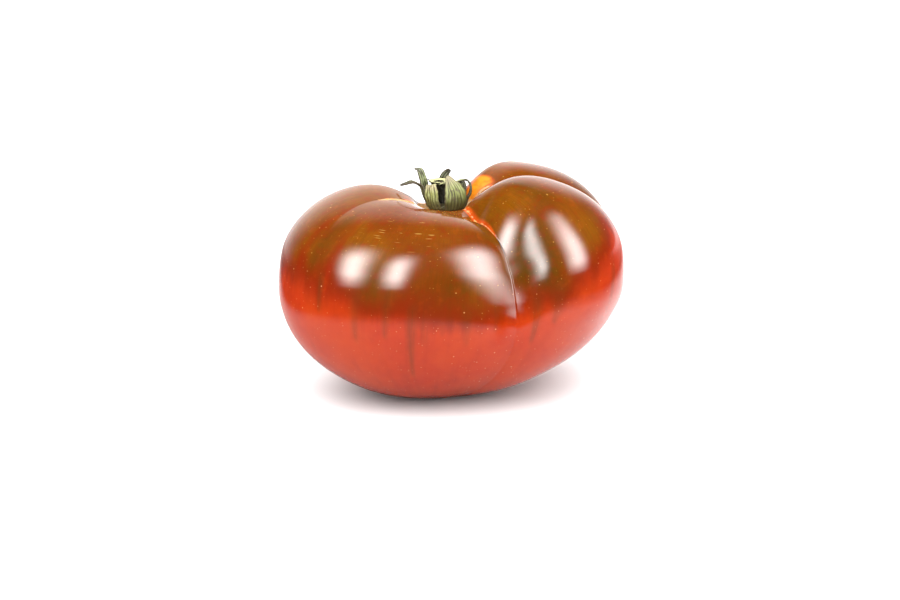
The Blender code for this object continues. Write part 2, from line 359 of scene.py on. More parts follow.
# where the skin's colours lie: bearings in degrees, polar angles in radians
skinMarks = {
    # bearing and polar angle of the line where the brown shoulders turn red, and how softly they do
    "shoulderLine": ((-180, 1.4), (-168, 1.38), (-150, 1.38), (-130, 1.42), (-110, 1.52), (-85, 1.56),
                     (-60, 1.6), (-45, 1.45), (-36, 1.36), (-28, 1.3), (-15, 1.19), (0, 1.15),
                     (40, 1.4), (90, 1.5), (140, 1.45), (180, 1.4)),
    "shoulderSoftness": 0.38,
    # redder bands on the brown: bearing, its half width, polar angles from and to, strength
    "redBands": ((-151, 5.5, 0.5, 1.4, 0.38), (-170, 6, 0.7, 1.45, 0.3), (-136, 7, 0.6, 1.4, 0.36),
                 (-12, 14, 0.75, 1.4, 0.38), (150, 8, 0.5, 1.4, 0.3)),
    # darker and greener patches, in the same way
    "greenPatches": ((-50, 14, 0.8, 1.68, 1), (-143.5, 5, 0.6, 1.45, 0.45), (-64, 8, 0.35, 0.95, 0.5),
                     (-118, 10, 1.15, 1.6, 0.5), (-84, 14, 1.25, 1.72, 0.5), (-35, 9, 0.25, 0.8, 0.6),
                     (30, 25, 0.6, 1.5, 0.6), (100, 20, 0.6, 1.6, 0.6), (170, 14, 0.8, 1.5, 0.5)),
    # places where a bloom dulls the shine, in the same way
    "bloom": ((-48, 8, 0.42, 0.74, 1), (-47.5, 5, 0.9, 1.25, 0.32), (-33, 11, 0.62, 0.88, 0.55),
              (-52, 5, 1.26, 1.62, 0.95), (-62, 5, 1.56, 1.8, 1), (-128, 26, 0.2, 0.5, 0.55),
              (30, 30, -0.2, 0.2, 0.75)),
    # bright patches by the stem: bearing, half width, cm from the stem from and to, strength
    "glowPatches": ((36, 34, 0.75, 1.5, 1), (-170, 12, 0.8, 1.3, 0.4), (110, 30, 0.75, 1.2, 0.6)),
    "patchSoftness": 0.15,  # at its upper and lower end
    # dark drips below the shoulder line: bearing, half width, polar angles from and to, strength
    "drips": ((-123, 4.4, 1.36, 1.9, 0.42), (-111, 3.8, 1.38, 1.84, 0.45), (-100.5, 3.4, 1.54, 2.26, 0.6),
              (-95, 4.4, 1.5, 1.9, 0.28), (-88, 3.2, 1.52, 1.8, 0.2), (-49.5, 2.8, 1.52, 1.94, 0.55),
              (-44, 3.2, 1.46, 1.74, 0.45), (-77, 4.6, 1.55, 1.92, 0.26), (-65, 3, 1.5, 1.8, 0.22),
              (-138, 2.4, 1.36, 1.64, 0.6), (-22, 2, 1.4, 1.75, 0.45), (24, 1.8, 1.35, 1.8, 0.6),
              (58, 1.5, 1.4, 1.9, 0.5), (96, 1.8, 1.45, 1.85, 0.6), (121, 1.4, 1.4, 2.05, 0.7),
              (163, 1.7, 1.35, 1.75, 0.6)),
    # how softly a drip starts, how much it narrows, and where along it the fading starts
    "dripStart": (-0.08, 0.05), "dripTaper": (1.1, 0.8), "dripFade": 0.8,
    # orange near the stem: furrow, half width in mm, mm from the stem from and to, strength
    "orangeBands": ((0, 1.5, 6, 31, 0.9), (1, 3, 7, 15, 0.9), (4, 4, 6, 15, 0.8),
                    (2, 3, 6, 14, 0.8), (3, 3, 6, 16, 0.7)),
    # cork along the furrows, in the same way
    "corkBands": ((0, 0.6, 6, 32, 0.55), (1, 2.8, 6, 14, 1), (4, 1.6, 6, 24, 0.9),
                  (2, 1, 6, 15, 0.8), (3, 1, 6, 17, 0.8)),
    # how softly a band starts in mm, how much it narrows, and where along it the fading starts
    "bandStart": 1.5, "bandTaper": (1.25, 0.75), "bandFade": 0.7,
    "corkRing": (3, 4, 7.2, 9.2),  # mm from the stem: where it starts, is full from and to, and ends
    "ringOrange": 0.8,
    "scarRadius": 2.4, "scarEdge": 0.5,  # mm, the blossom scar underneath, and where its edge starts
    # painted shade: a thin dark line in the front furrow's crease, placed on the next line
    "creaseShade": (0.45, 29.5, 4.5),  # along the front furrow: half width, middle and reach in mm
    "dashes": (-108, 30, 0.78, 0.35),  # bearing, half width, polar angle and reach
}


def lineAt(line, bearing):  # the polar angle of a line at a bearing, drawn smoothly through its points
    for (first, low), (second, high) in zip(line, line[1:]):
        if first <= bearing <= second:
            return blend(low, high, smooth(first, second, bearing))
    return line[-1][1]


def patch(marks, bearing, polar):
    soft = skinMarks["patchSoftness"]
    total = 0
    for middle, width, top, foot, strength in marks:
        aside = turnFrom(middle, bearing)
        if abs(aside) < width:
            along = smooth(top - soft, top + soft, polar) * (1 - smooth(foot - soft, foot + soft, polar))
            total += strength * bump(0, width, aside) * along
    return clamp(total)


def drip(marks, bearing, polar):  # widest at its top, and drawn out to a point
    early, late = skinMarks["dripStart"]
    widest, narrowing = skinMarks["dripTaper"]
    total = 0
    for middle, width, top, foot, strength in marks:
        aside = turnFrom(middle, bearing)
        if abs(aside) < 2 * width:
            share = clamp((polar - top) / (foot - top))
            lively = smooth(top + early, top + late, polar) * (1 - smooth(skinMarks["dripFade"], 1, share))
            total += strength * bump(0, width * (widest - narrowing * share), aside) * lively
    return clamp(total)


def alongFurrow(marks, offsets, stemGap):  # offsets: mm to each furrow; stemGap: mm from the stem
    widest, narrowing = skinMarks["bandTaper"]
    total = 0
    for furrow, width, near, far, strength in marks:
        share = clamp((stemGap - near) / (far - near))
        reach = smooth(near - skinMarks["bandStart"], near, stemGap)
        reach *= 1 - smooth(skinMarks["bandFade"], 1, share)
        total += strength * bump(0, width * (widest - narrowing * share), offsets[furrow]) * reach
    return clamp(total)


def stemGapAt(point):  # mm from the stem, seen from above
    return math.hypot(point.x - seat.x, point.y - seat.y) * 1000


def scarShare(point):
    middle = fruitShape["planMiddle"]
    gap = math.hypot(point.x - middle[0], point.y - middle[1]) * 1000
    return 1 - smooth(skinMarks["scarEdge"], 1, gap / skinMarks["scarRadius"])


def shoulderShare(bearing, polar):  # how brown the skin is
    line = lineAt(skinMarks["shoulderLine"], bearing)
    soft = skinMarks["shoulderSoftness"]
    share = 1 - smooth(line - soft, line + soft, polar)
    return share * (1 - patch(skinMarks["redBands"], bearing, polar))


def upperMasks(bearing, polar, point):  # the marks that only the upper half has
    stemGap = stemGapAt(point)
    offsets = []
    for furrow in range(lobeCount):
        aside = turnFrom(math.degrees(furrowBearing(furrow, polar)), bearing)
        offsets.append(math.radians(aside) * stemGap)
    start, full, fullEnd, end = skinMarks["corkRing"]
    ring = smooth(start, full, stemGap) * (1 - smooth(fullEnd, end, stemGap))
    orange = alongFurrow(skinMarks["orangeBands"], offsets, stemGap)
    # painted shade: the thin dark line in the front furrow's crease
    creaseShadeWidth, creaseShadeMiddle, creaseShadeReach = skinMarks["creaseShade"]
    dashBearing, dashWidth, dashPolar, dashReach = skinMarks["dashes"]
    return {
        "orange": max(orange, skinMarks["ringOrange"] * ring),
        "glow": patch(skinMarks["glowPatches"], bearing, stemGap / 10),
        "cork": max(ring, alongFurrow(skinMarks["corkBands"], offsets, stemGap)),
        "creaseShade": bump(0, creaseShadeWidth, offsets[0]) * bump(creaseShadeMiddle, creaseShadeReach, stemGap),
        "dashes": bump(dashBearing, dashWidth, bearing) * bump(dashPolar, dashReach, polar),
    }


maskNames = ("olive", "green", "bloom", "drips", "orange", "glow", "cork", "creaseShade", "dashes")


def skinMasks(lobe, across, polar, point):
    bearing = turnFrom(0, math.degrees(skinBearing(lobe, across, polar)))
    masks = dict.fromkeys(maskNames, 0)
    masks["olive"] = shoulderShare(bearing, polar)
    masks["green"] = patch(skinMarks["greenPatches"], bearing, polar)
    masks["bloom"] = patch(skinMarks["bloom"], bearing, polar)
    masks["drips"] = drip(skinMarks["drips"], bearing, polar)
    if polar < math.pi / 2:
        masks.update(upperMasks(bearing, polar, point))
    else:
        masks["cork"] = scarShare(point)
    return masks


def placeSkin(bm, layers, meridian):  # moves each point of the sphere to its place on the fruit
    shape = fruitShape
    for vertex in bm.verts:
        turn = (math.atan2(vertex.co.y, vertex.co.x) / math.tau) % 1 * lobeCount
        passed = int(turn + 1e-5)  # a point on a furrow counts with the lobe after it
        lobe = passed % lobeCount
        across = max(0.0, turn - passed)
        across -= shape["flankCrowding"] * math.sin(math.tau * across) / math.tau
        polar = math.acos(clamp(vertex.co.z, -1.0, 1.0))
        polar -= shape["topCrowding"] * math.sin(polar)
        point = skinPoint(lobe, across, polar)
        for name, value in skinMasks(lobe, across, polar, point).items():
            vertex[layers[name]] = value
        bearing = skinBearing(lobe, across, polar)
        vertex[meridian] = Vector((math.cos(bearing), math.sin(bearing), polar))
        vertex.co = point


def roughenSkin(bm, corkLayer):
    shape = fruitShape
    bm.normal_update()
    for vertex in bm.verts:
        if vertex.co.z < shape["flatHeight"]:
            continue
        lump = shape["lumps"] * wobble(vertex.co, shape["lumpSize"])
        rough = vertex[corkLayer] * shape["corkLumps"] * wobble(vertex.co, shape["corkLumpSize"])
        edge = smooth(*shape["lumpStart"], stemGapAt(vertex.co))
        vertex.co += vertex.normal * (lump * edge + rough)


def makeFruit():
    bm = bmesh.new()
    meridians = lobeCount * fruitShape["meridiansPerLobe"]
    bmesh.ops.create_uvsphere(bm, u_segments=meridians, v_segments=fruitShape["rings"], radius=1)
    layers = {name: bm.verts.layers.float.new(name) for name in maskNames}
    meridian = bm.verts.layers.float_vector.new("meridian")
    placeSkin(bm, layers, meridian)
    roughenSkin(bm, layers["cork"])
    return makePiece(bm, "fruitSkin")


# the skin's colours and finish; lengths in metres
skinFinish = {
    "red": (0.258, 0.0155, 0.001), "redPale": (0.29, 0.024, 0.002), "deep": (0.125, 0.008, 0.0002),
    "gold": (0.122, 0.037, 0.0003), "green": (0.046, 0.019, 0.0004), "brown": (0.094, 0.0185, 0.0003),
    "drip": (0.072, 0.018, 0.003), "orange": (0.34, 0.045, 0.003), "yellow": (0.5, 0.15, 0.005),
    # the last colour on the next line is painted shade, for the dark line in the front furrow's crease
    "cork": (0.33, 0.22, 0.115), "corkDark": (0.08, 0.03, 0.012), "creaseShade": (0.03, 0.01, 0.005),
    "speckOnBrown": (0.28, 0.135, 0.025), "speckOnRed": (0.45, 0.16, 0.075), "dash": (0.38, 0.23, 0.05),
    "roughness": 0.87, "cloudRoughness": 0.1, "corkRoughness": 0.75, "specular": 0.06,
    "tint": (1, 0.2, 0.05), "coat": 0.62, "coatRoughness": 0.115,
    "subsurface": 0.12, "subsurfaceRadius": (1, 0.25, 0.1), "subsurfaceScale": 0.003,
    "relief": (0.35, 0.0004), "fineRelief": 0.06,
}

# the skin's pattern; a range says where a soft step starts and ends, and what it goes from and to
skinPattern = {
    # fibres along the meridians: how many across, how many along, detail
    "streak": (15, 1.7, 3.6), "fine": (90, 5, 3),
    # noise: scale, detail
    "cloud": (55, 4), "grain": (380, 4), "corkNoise": (900, 3),
    # dots: spacing, size as a share of it, share of places that hold one
    "specks": (0.0023, 0.09, 0.55), "tinySpecks": (0.001, 0.15, 0.42), "corkDots": (0.0007, 0.3, 0.55),
    "dashes": (1.5, 0.24, 0.3), "dashGrid": (11, 11, 110),
    "speckStrength": 0.85, "tinyStrength": 0.5, "dashStrength": 0.85,
    # how far streaks and clouds shift the edges of the colours
    "streakPart": 0.26, "cloudPart": 0.42, "shiftMiddle": 0.34, "greenShift": 2, "warmShift": 0.5,
    # the shares of the colours on the shoulders and below them
    "deepByShade": (0.12, 0.46), "oliveByShade": (0.3, 0.84), "goldByCloud": (0.35, 0.7),
    "greenByFine": (0.3, 0.75, (0, 0.3)), "paleByCloud": (0.3, 0.7),
    "deepByStreak": (0.46, 0.8, (0, 0.22)), "dripByFine": (0, 0.6),
    # near the stem
    "yellowByGlow": (0.3, 0.9), "orangeByWarmth": (0.2, 0.8),
    "yellowByCork": (0.38, 0.62, (0, 0.45)), "corkByEdge": (0.35, 0.6), "creaseShadeByMask": (0.3, 0.8),
    # the fine mottling
    "deepByGrain": (0.46, 0.74), "grainByShade": (0, 0.7, (0.12, 0.38)),
    "orangeByGrain": (0.46, 0.26, (0, 0.09)),
}


def makeSkinMaps(tree):  # the noises and shares that the skin's colours are drawn with
    pattern = skinPattern
    place = ownPlace(tree)
    meridian = attribute(tree, "meridian", "Vector")
    streak = fibres(tree, meridian, *pattern["streak"])
    cloud = addNoise(tree, place, *pattern["cloud"])
    spread = times(tree, streak, pattern["streakPart"])
    spread = plus(tree, spread, times(tree, cloud, pattern["cloudPart"]))
    shift = minus(tree, spread, pattern["shiftMiddle"])
    shaded = plus(tree, attribute(tree, "olive"), shift)
    return {
        "place": place, "meridian": meridian, "streak": streak, "cloud": cloud, "shift": shift,
        "shaded": shaded, "oliveShare": stretch(tree, shaded, *pattern["oliveByShade"]),
        "fine": fibres(tree, meridian, *pattern["fine"]),
        "corkNoise": addNoise(tree, place, *pattern["corkNoise"]),
    }


def ripenSkin(tree, maps):  # red below, brown and green on the shoulders, with drips between
    finish, pattern = skinFinish, skinPattern
    shiftMore = times(tree, maps["shift"], pattern["greenShift"])
    greenShare = plus(tree, attribute(tree, "green"), shiftMore, True)
    brown = mixIn(tree, finish["brown"], finish["gold"], maps["cloud"], *pattern["goldByCloud"])
    brown = mixColour(tree, greenShare, brown, finish["green"])
    brown = mixIn(tree, brown, finish["green"], maps["fine"], *pattern["greenByFine"])
    red = mixIn(tree, finish["red"], finish["redPale"], maps["cloud"], *pattern["paleByCloud"])
    red = mixIn(tree, red, finish["deep"], maps["streak"], *pattern["deepByStreak"])
    colour = mixIn(tree, red, finish["deep"], maps["shaded"], *pattern["deepByShade"])
    colour = mixColour(tree, maps["oliveShare"], colour, brown)
    broken = stretch(tree, maps["fine"], *pattern["dripByFine"])
    return mixColour(tree, times(tree, attribute(tree, "drips"), broken), colour, finish["drip"])


def warmSkin(tree, colour, maps):  # orange and yellow near the stem
    finish, pattern = skinFinish, skinPattern
    glowShare = plus(tree, attribute(tree, "glow"), maps["shift"], True)
    glow = mixIn(tree, finish["orange"], finish["yellow"], glowShare, *pattern["yellowByGlow"])
    warm = calculate(tree, "MAXIMUM", attribute(tree, "orange"), attribute(tree, "glow"))
    warm = plus(tree, warm, times(tree, maps["shift"], pattern["warmShift"]))
    return mixIn(tree, colour, glow, warm, *pattern["orangeByWarmth"])


def mottleSkin(tree, colour, maps):
    finish, pattern = skinFinish, skinPattern
    grain = addNoise(tree, maps["place"], *pattern["grain"])
    share = times(tree, stretch(tree, grain, *pattern["deepByGrain"]),
                  stretch(tree, maps["shaded"], *pattern["grainByShade"]))
    colour = mixColour(tree, share, colour, finish["deep"])
    return mixIn(tree, colour, finish["orange"], grain, *pattern["orangeByGrain"])


def speckleSkin(tree, colour, maps):  # pale specks all over, and short dashes on the front lobe
    finish, pattern = skinFinish, skinPattern
    speckColour = mixColour(tree, maps["oliveShare"], finish["speckOnRed"], finish["speckOnBrown"])
    for dotName, strengthName in (("specks", "speckStrength"), ("tinySpecks", "tinyStrength")):
        specks = dots(tree, maps["place"], *pattern[dotName])
        colour = mixColour(tree, times(tree, specks, pattern[strengthName]), colour, speckColour)
    flat = stretchVector(tree, maps["meridian"], pattern["dashGrid"])
    dashShare = times(tree, dots(tree, flat, *pattern["dashes"]), attribute(tree, "dashes"))
    return mixColour(tree, times(tree, dashShare, pattern["dashStrength"]), colour, finish["dash"])


def corkSkin(tree, colour, maps):  # cork, and a thin dark line of painted shade in the front furrow's crease; gives back the share of cork too
    finish, pattern = skinFinish, skinPattern
    cork = mixIn(tree, finish["cork"], finish["yellow"], maps["corkNoise"], *pattern["yellowByCork"])
    cork = mixColour(tree, dots(tree, maps["place"], *pattern["corkDots"]), cork, finish["corkDark"])
    frayed = plus(tree, attribute(tree, "cork"), minus(tree, maps["corkNoise"], 0.5))
    corkShare = stretch(tree, frayed, *pattern["corkByEdge"])
    colour = mixColour(tree, corkShare, colour, cork)
    # painted shade: a thin dark line in the front furrow's crease
    colour = mixIn(tree, colour, finish["creaseShade"], attribute(tree, "creaseShade"), *pattern["creaseShadeByMask"])
    return colour, corkShare


def finishSkin(tree, shader, maps, corkShare):  # what isn't colour: cork and bloom shine less
    finish = skinFinish
    clear = plus(tree, times(tree, maps["cloud"], finish["cloudRoughness"]), finish["roughness"])
    dull = calculate(tree, "MAXIMUM", corkShare, attribute(tree, "bloom"))
    relief = times(tree, maps["corkNoise"], corkShare)
    relief = plus(tree, relief, times(tree, maps["fine"], finish["fineRelief"]))
    addRelief(tree, shader, relief, *finish["relief"])
    values = {
        "Roughness": ramp(tree, corkShare, clear, finish["corkRoughness"]),
        "Coat Weight": ramp(tree, dull, finish["coat"], 0.0),
        "Coat Roughness": finish["coatRoughness"],
        "Specular Tint": finish["tint"],
        "Subsurface Weight": finish["subsurface"],
        "Subsurface Radius": finish["subsurfaceRadius"],
        "Subsurface Scale": finish["subsurfaceScale"],
    }
    for name, value in values.items():
        fillSocket(tree, shader.inputs[name], value)


def makeSkinMaterial():
    material, tree, shader = startMaterial("skin", skinFinish)
    maps = makeSkinMaps(tree)
    colour = ripenSkin(tree, maps)
    colour = warmSkin(tree, colour, maps)
    colour = mottleSkin(tree, colour, maps)
    colour = speckleSkin(tree, colour, maps)
    colour, corkShare = corkSkin(tree, colour, maps)
    tree.links.new(colour, shader.inputs["Base Color"])
    finishSkin(tree, shader, maps, corkShare)
    return material


fruit = makeFruit()
fruit.data.materials.append(makeSkinMaterial())
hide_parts("fruit")
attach(fruit, "root")
print("fruit made:", len(fruit.data.polygons), "faces")


# the calyx: seven dried sepals on a collar, in mm from the seat, with facings in degrees
calyxShape = {
    "thickness": 0.42, "rows": 44, "columns": 18, "lookAhead": 0.02,
    "waviness": 0.1, "crumple": 0.22, "crumpleTaper": 2.5, "ribDrift": 2.2,
    # the shares of ribs and creases in the colours, which paint light on the ribs and shade in the creases,
    # and where along a sepal its tip's colour starts
    "ridgeShare": 0.38, "creaseShare": 0.35, "tipShade": (0.55, 0.95),
    # path, widths, facings at root and tip, bulge, rib count, rib height, colour, colour of the tip
    "sepals": {
        "left": (
            ((-5, 0, 0.6), (-6, 0, 3), (-6.9, 0.3, 5.6), (-8.1, 0.5, 6.7), (-9.8, 0.7, 7.2),
             (-11.4, 0.8, 6.8), (-13.2, 0.9, 6.2)),
            (4, 3.6, 3.1, 2.6, 2.4, 1.7, 0.6), (200, 212), 0.5, 3, 0.22,
            (0.085, 0.085, 0.03), (0.05, 0.04, 0.022)),
        "backLeft": (
            ((-4.4, 2.5, 0.6), (-5.4, 3, 3), (-6.2, 3.2, 5.3), (-6.6, 3.4, 7.2), (-7.2, 3.6, 9),
             (-7.9, 3.8, 10.1), (-9.2, 4, 10.3)),
            (4.2, 3.8, 3.2, 2.6, 2.2, 1.7, 0.5), (150, 112), 0.6, 3, 0.16,
            (0.16, 0.19, 0.075), (0.12, 0.125, 0.09)),
        "back": (
            ((-0.7, 5, 0.6), (-0.9, 5.7, 3.5), (-0.9, 6, 6.6), (-0.1, 6.1, 8.4), (1, 6.1, 9.5)),
            (4.6, 3.8, 2.6, 2, 1.1), (97, 100), 0.5, 3, 0.16,
            (0.13, 0.145, 0.075), (0.025, 0.025, 0.022)),
        "backRight": (
            ((3.5, 3.8, 0.6), (4.2, 4.5, 3.3), (4.5, 4.9, 5.2), (4.1, 5.2, 6.1), (3.1, 5.4, 6.4)),
            (4.4, 3.4, 2.6, 1.7, 0.6), (48, 60), 0.5, 3, 0.14,
            (0.15, 0.16, 0.1), (0.16, 0.175, 0.13)),
        "right": (
            ((5, -0.8, 0.6), (5.8, -1.2, 3), (6.6, -1.1, 4.5), (6.8, -0.7, 6), (6.4, 0.3, 7),
             (5.6, 1.1, 7.6), (4.2, 1.7, 7.5), (2.8, 2.1, 6.9)),
            (4.6, 4, 3.4, 3, 2.5, 1.9, 1.3, 0.5), (-8, 25), 0.5, 3, 0.18,
            (0.055, 0.06, 0.022), (0.18, 0.19, 0.11)),
        "frontRight": (
            ((2.1, -4.6, 0.6), (2.6, -5.6, 3.2), (2.3, -5.7, 5.8), (1.3, -5, 8.1), (0.3, -3.7, 9.9)),
            (5.6, 6.7, 6.1, 3.6, 1), (-65, -72), 0.9, 7, 0.3,
            (0.135, 0.15, 0.03), (0.21, 0.17, 0.105)),
        "frontLeft": (
            ((-3.2, -3.9, 0.6), (-4, -4.5, 3.2), (-4.3, -4.4, 5.6), (-4.3, -3.9, 7.5)),
            (4.7, 4.3, 3.9, 2.6), (-125, -112), 0.6, 5, 0.22,
            (0.18, 0.19, 0.038), (0.29, 0.23, 0.13)),
    },
}


def alongCurve(points, share):  # a smooth curve through the points
    place = share * (len(points) - 1)
    index = min(int(place), len(points) - 2)
    t = place - index
    first = points[max(0, index - 1)]
    second = points[index]
    third = points[index + 1]
    fourth = points[min(len(points) - 1, index + 2)]
    slope = (third - first) * t + (first * 2 - second * 5 + third * 4 - fourth) * t ** 2
    return second + (slope + (second * 3 - first - third * 3 + fourth) * t ** 3) / 2


def sepalFrame(line, facings, share):  # the directions across a sepal and out of it
    reach = calyxShape["lookAhead"]
    behind = alongCurve(line, max(0.0, share - reach))
    ahead = alongCurve(line, min(1.0, share + reach)) - behind
    facing = math.radians(blend(*facings, smooth(0, 1, share)))
    side = Vector((-math.sin(facing), math.cos(facing), 0))
    side -= ahead * (side.dot(ahead) / ahead.length_squared)
    side.normalize()
    return side, side.cross(ahead.normalized())


def sepalNoise(across, share, seed):  # how its edge waves, its ribs drift and its blade creases
    wave = noise.noise(Vector((share * 7, math.copysign(3, across), seed * 5)))
    drift = noise.noise(Vector((share * 3, seed, across * 2)))
    crease = noise.noise(Vector((across * 3, share * 5, seed * 7)))
    return wave, drift, crease


def addSepal(bm, name, layers):
    shape = calyxShape
    points, widths, facings, bulge, ribs, ribHeight, colour, tipColour = shape["sepals"][name]
    line = [Vector(point) for point in points]
    seed = sorted(shape["sepals"]).index(name)
    grid = bmesh.ops.create_grid(bm, x_segments=shape["columns"], y_segments=shape["rows"], size=1)
    for vertex in grid["verts"]:
        across = vertex.co.x
        share = (vertex.co.y + 1) / 2
        side, outer = sepalFrame(line, facings, share)
        wave, drift, crease = sepalNoise(across, share, seed)
        half = alongCurve(widths, share) / 2
        taper = clamp(half / max(widths))
        half *= 1 + shape["waviness"] * wave
        ridge = math.cos(across * math.pi * ribs + shape["ribDrift"] * drift)
        proud = bulge * (1 - across * across) * taper + ribHeight * ridge * taper
        proud += shape["crumple"] * crease * min(1, taper * shape["crumpleTaper"])
        vertex.co = seat + (alongCurve(line, share) + side * half * across + outer * proud) / 1000
        # painted light and shade: the colour follows the ribs and creases, paler on top and darker in
        # between
        vertex[layers["ridge"]] = clamp(0.5 + shape["ridgeShare"] * ridge + shape["creaseShare"] * crease)
        vertex[layers["blade"]] = Vector((across, share, seed))
        shade = smooth(*shape["tipShade"], share)
        vertex[layers["tint"]] = (*(blend(a, b, shade) for a, b in zip(colour, tipColour)), 1)


def addLeafLayers(bm):
    kinds = bm.verts.layers
    return {"ridge": kinds.float.new("ridge"), "blade": kinds.float_vector.new("blade"),
            "tint": kinds.float_color.new("tint")}


def makeCalyx():
    shape = calyxShape
    bm = bmesh.new()
    layers = addLeafLayers(bm)
    for name in shape["sepals"]:
        addSepal(bm, name, layers)
    calyx = makePiece(bm, "calyxLeaves")
    skin = calyx.modifiers.new("thickness", "SOLIDIFY")
    skin.thickness = shape["thickness"] / 1000
    skin.offset = 0
    return calyx


# the collar that the sepals grow from, in metres
collarShape = {
    "foot": 0.0053, "top": 0.0058, "height": 0.0016, "lift": 0.00005, "sides": 72,
    "bevel": 0.0005, "bevelSteps": 4, "lumps": 0.05, "lumpScale": (5, 900),
    # ridgeMiddle and ridgeShare set the painted light and shade that follow its lumps
    "ridgeMiddle": 0.35, "ridgeShare": 0.5, "blade": (4, 0.1), "tint": (0.1, 0.09, 0.02),
}


def makeCollar():
    shape = collarShape
    bm = bmesh.new()
    bmesh.ops.create_cone(bm, cap_ends=True, segments=shape["sides"], radius1=shape["foot"],
                          radius2=shape["top"], depth=shape["height"])
    rims = [edge for edge in bm.edges if len(edge.link_faces) == 2 and edge.calc_face_angle() > 1]
    bmesh.ops.bevel(bm, geom=rims, offset=shape["bevel"], segments=shape["bevelSteps"], affect="EDGES",
                    profile=0.5, material=-1)
    layers = addLeafLayers(bm)
    around, upward = shape["lumpScale"]
    reach, share = shape["blade"]
    for vertex in bm.verts:
        bearing = math.atan2(vertex.co.y, vertex.co.x)
        outward = Vector((math.cos(bearing), math.sin(bearing), 0))
        lump = noise.noise(outward * around + Vector((0, 0, vertex.co.z * upward)))
        vertex.co.x *= 1 + shape["lumps"] * lump
        vertex.co.y *= 1 + shape["lumps"] * lump
        vertex.co += seat + Vector((0, 0, shape["height"] / 2 + shape["lift"]))
        # painted light and shade: paler where a lump swells out and darker where it dents in
        vertex[layers["ridge"]] = clamp(shape["ridgeMiddle"] + shape["ridgeShare"] * lump)
        vertex[layers["blade"]] = Vector((outward.x * reach, share, outward.y * reach))
        vertex[layers["tint"]] = (*shape["tint"], 1)
    return makePiece(bm, "calyxCollar")


leafFinish = {
    # the first colour is pale veins with painted light on the ridges, the second is painted shade in the
    # valleys between them
    "vein": (0.275, 0.285, 0.125), "valleyShade": (0.026, 0.022, 0.006), "scorch": (0.05, 0.028, 0.014),
    "foot": (0.045, 0.038, 0.009), "roughness": 0.62, "specular": 0.2,
    # noise: scale, detail; the veins are drawn out along the blade
    "veinNoise": (7, 3), "veinStretch": (1, 0.16, 1), "cloudNoise": (520, 3),
    # ranges, as for the skin
    # painted light on the ridges and painted shade in the valleys, by the ridge's height
    "veinByRidge": (0.58, 0.98, (0, 0.6)), "valleyShadeByRidge": (0.6, 0.18, (0, 0.92)),
    "scorchByCloud": (0.56, 0.72, (0, 0.7)), "footByShare": (0.68, 0.25, (0, 0.8)),
    "scorchByEdge": (0.78, 1, (0, 0.45)),
    "footVein": 0.3, "cloudRelief": 0.6, "relief": (0.6, 0.0003),
}


def makeLeafMaterial(finish):
    material, tree, shader = startMaterial("driedLeaf", finish)
    blade = attribute(tree, "blade", "Vector")
    parts = splitVector(tree, blade)
    vein = addNoise(tree, stretchVector(tree, blade, finish["veinStretch"]), *finish["veinNoise"])
    cloud = addNoise(tree, ownPlace(tree), *finish["cloudNoise"])
    ridge = plus(tree, attribute(tree, "ridge"), minus(tree, vein, 0.5), True)
    low = plus(tree, parts[1], times(tree, vein, finish["footVein"]))
    edge = calculate(tree, "ABSOLUTE", parts[0])
    # pale veins with painted light on the ridges, then painted shade in the valleys
    colour = mixIn(tree, attribute(tree, "tint", "Color"), finish["vein"], ridge, *finish["veinByRidge"])
    colour = mixIn(tree, colour, finish["valleyShade"], ridge, *finish["valleyShadeByRidge"])
    colour = mixIn(tree, colour, finish["scorch"], cloud, *finish["scorchByCloud"])
    colour = mixIn(tree, colour, finish["foot"], low, *finish["footByShare"])
    colour = mixIn(tree, colour, finish["scorch"], edge, *finish["scorchByEdge"])
    tree.links.new(colour, shader.inputs["Base Color"])
    relief = plus(tree, vein, times(tree, cloud, finish["cloudRelief"]))
    addRelief(tree, shader, relief, *finish["relief"])
    return material


leaf = makeLeafMaterial(leafFinish)
calyx = makeCalyx()
calyx.data.materials.append(leaf)
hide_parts("calyx")
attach(calyx, "root")
collar = makeCollar()
collar.data.materials.append(leaf)
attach(collar, "root")
print("calyx made:", len(calyx.data.polygons), "faces")


# the stub of the stem, cut off level, in metres from the seat: the line of its middle and its radii
stubShape = {
    "line": ((-0.0004, 0, 0.0012), (-0.0005, 0, 0.0032), (-0.0011, 0.0001, 0.005),
             (-0.0018, 0.0002, 0.0066), (-0.0021, 0.0002, 0.0078)),
    "radii": (0.0026, 0.0023, 0.0022, 0.0024, 0.0029),
    "sides": 56, "rings": 30, "flutes": 9, "fluteDepth": 0.05, "fluteTwist": 3,
    "lumps": 0.06, "lumpScale": (2, 4), "sharpAngle": 50,
    # steps of the cut face from its rim inwards: width, height
    "faceSteps": ((0.00018, 0), (0.0006, 0), (0.0004, -0.0003), (0.001, 0)),
}


def startStub(shape):  # an upright tube with rings, and its top face
    bm = bmesh.new()
    bmesh.ops.create_cone(bm, cap_ends=True, segments=shape["sides"], radius1=1, radius2=1, depth=1)
    upright = [edge for edge in bm.edges if abs(edge.verts[0].co.z - edge.verts[1].co.z) > 0.5]
    bmesh.ops.subdivide_edges(bm, edges=upright, cuts=shape["rings"], use_grid_fill=True)
    return bm, max(bm.faces, key=lambda face: face.calc_center_median().z)


